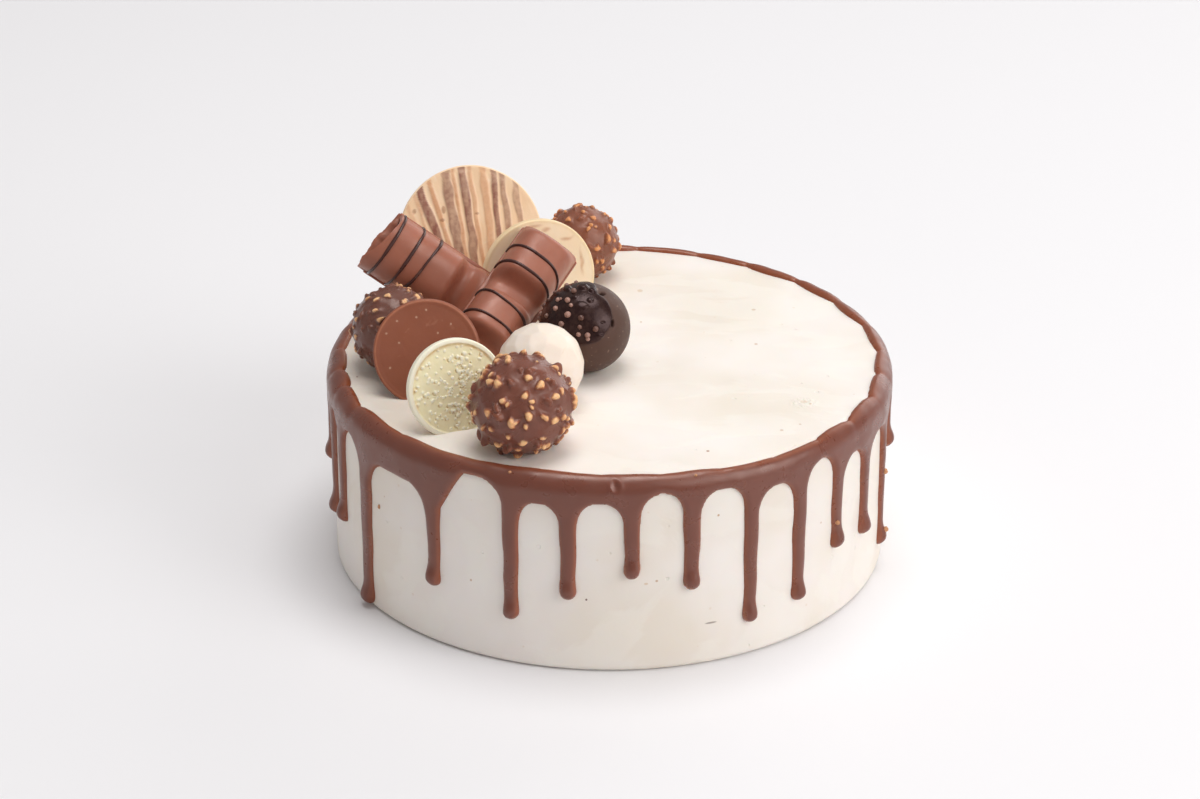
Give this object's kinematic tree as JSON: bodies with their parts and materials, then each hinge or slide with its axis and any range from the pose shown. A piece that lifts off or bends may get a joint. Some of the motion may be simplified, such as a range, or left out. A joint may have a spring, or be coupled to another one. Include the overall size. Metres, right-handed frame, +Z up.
{
  "type": "white chocolate cake",
  "caption": "Round iced cake with a milk chocolate drip round its rim and a crescent of chocolate discs, bars and balls standing on one side of its top.",
  "frame": {"origin": "centre of the cake's flat base, on the surface that it stands on", "axes": "+Z up through the middle of the cake; -Y towards the front, where the long drips show; the chocolates stand on the -X side"},
  "size_m": [0.1862, 0.1863, 0.1056],
  "materials": {
    "icing": "smooth satin white chocolate icing with fine specks and spatula marks",
    "drip_chocolate": "semi-gloss set milk chocolate drip",
    "milk_chocolate": "satin milk chocolate",
    "nut_chocolate": "glossy milk chocolate with chopped nuts",
    "dark_chocolate": "dark chocolate, glossy on one side with small pearls",
    "white_chocolate": "satin white chocolate",
    "striped_chocolate": "blond chocolate with raised milk chocolate stripes",
    "ivory_chocolate": "smooth ivory chocolate with tan smudges",
    "pale_chocolate": "pale yellow chocolate with a pebbly face and a smooth rim"
  },
  "bodies": {
    "root": {"cake_body": "icing", "ganache_drip": "drip_chocolate", "striped_disc": "striped_chocolate", "marbled_disc": "ivory_chocolate", "milk_disc": "milk_chocolate", "pale_disc": "pale_chocolate", "bar_left": "milk_chocolate", "bar_right": "milk_chocolate", "ball_front": "nut_chocolate", "ball_left": "nut_chocolate", "ball_back": "nut_chocolate", "dark_ball": "dark_chocolate", "white_ball": "white_chocolate"}
  },
  "joints": []
}
